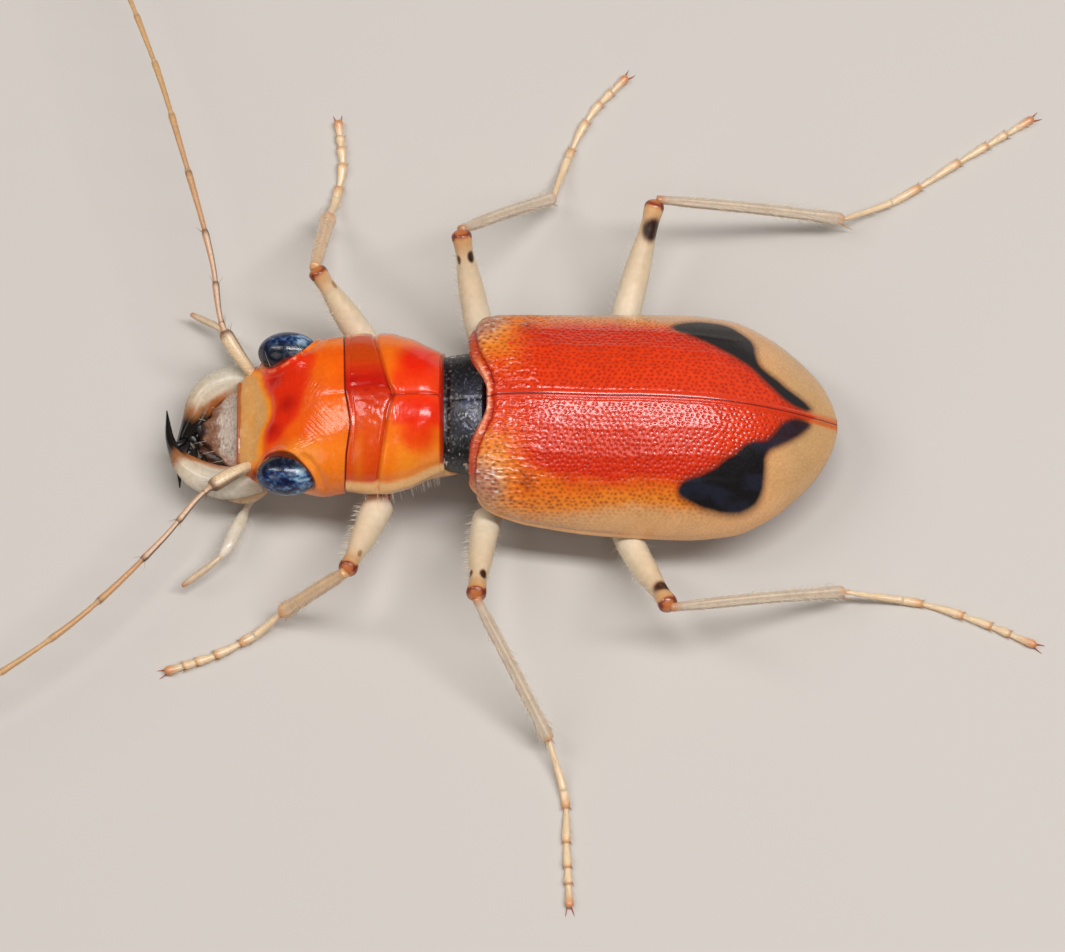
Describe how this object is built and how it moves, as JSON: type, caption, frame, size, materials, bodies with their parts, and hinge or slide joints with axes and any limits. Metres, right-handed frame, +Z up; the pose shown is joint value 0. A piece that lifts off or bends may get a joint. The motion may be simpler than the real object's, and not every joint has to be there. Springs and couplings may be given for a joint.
{
  "type": "tiger beetle",
  "caption": "Life-size still tiger beetle standing on its feet, with glossy orange and cream wing cases, sickle jaws, bulging eyes and long feelers.",
  "frame": {"origin": "the floor under the middle of the overall outline, feet and feelers included", "axes": "+Z up from the floor, the head towards -X and the tip of the wing cases towards +X, the beetle's left side towards -Y"},
  "size_m": [0.033, 0.0282, 0.0044],
  "materials": {
    "wing_case": "pitted, glossy orange-red with cream rims and two blue-black spots",
    "cuticle_orange": "smooth, glossy orange-red",
    "collar_black": "satin black",
    "underside": "glossy brown-orange",
    "leg_root": "glossy dark red-brown",
    "thigh": "ivory with dark spots near the knee",
    "shin": "pale, half clear, with fine hairs",
    "foot": "pale amber joints",
    "eye": "glossy navy with pale blue marbling",
    "lip": "whitish grey, finely speckled, brown at the point",
    "jaw": "ivory turning black towards the points",
    "palp": "whitish amber",
    "feeler": "tan, finely downy"
  },
  "bodies": {
    "root": {"abdomen": "underside", "antenna_left": "feeler", "antenna_right": "feeler", "coxa_front_left": "leg_root", "coxa_front_right": "leg_root", "coxa_hind_left": "leg_root", "coxa_hind_right": "leg_root", "coxa_mid_left": "leg_root", "coxa_mid_right": "leg_root", "elytron_left": "wing_case", "elytron_right": "wing_case", "eye_left": "eye", "eye_right": "eye", "femur_front_left": "thigh", "femur_front_right": "thigh", "femur_hind_left": "thigh", "femur_hind_right": "thigh", "femur_mid_left": "thigh", "femur_mid_right": "thigh", "head": "cuticle_orange", "labrum": "lip", "mandible_left": "jaw", "mandible_right": "jaw", "mesothorax": "collar_black", "metathorax": "underside", "palp_labial_left": "palp", "palp_labial_right": "palp", "palp_maxillary_left": "palp", "palp_maxillary_right": "palp", "prothorax": "cuticle_orange", "tarsus_front_left": "foot", "tarsus_front_right": "foot", "tarsus_hind_left": "foot", "tarsus_hind_right": "foot", "tarsus_mid_left": "foot", "tarsus_mid_right": "foot", "tibia_front_left": "shin", "tibia_front_right": "shin", "tibia_hind_left": "shin", "tibia_hind_right": "shin", "tibia_mid_left": "shin", "tibia_mid_right": "shin"}
  },
  "joints": []
}
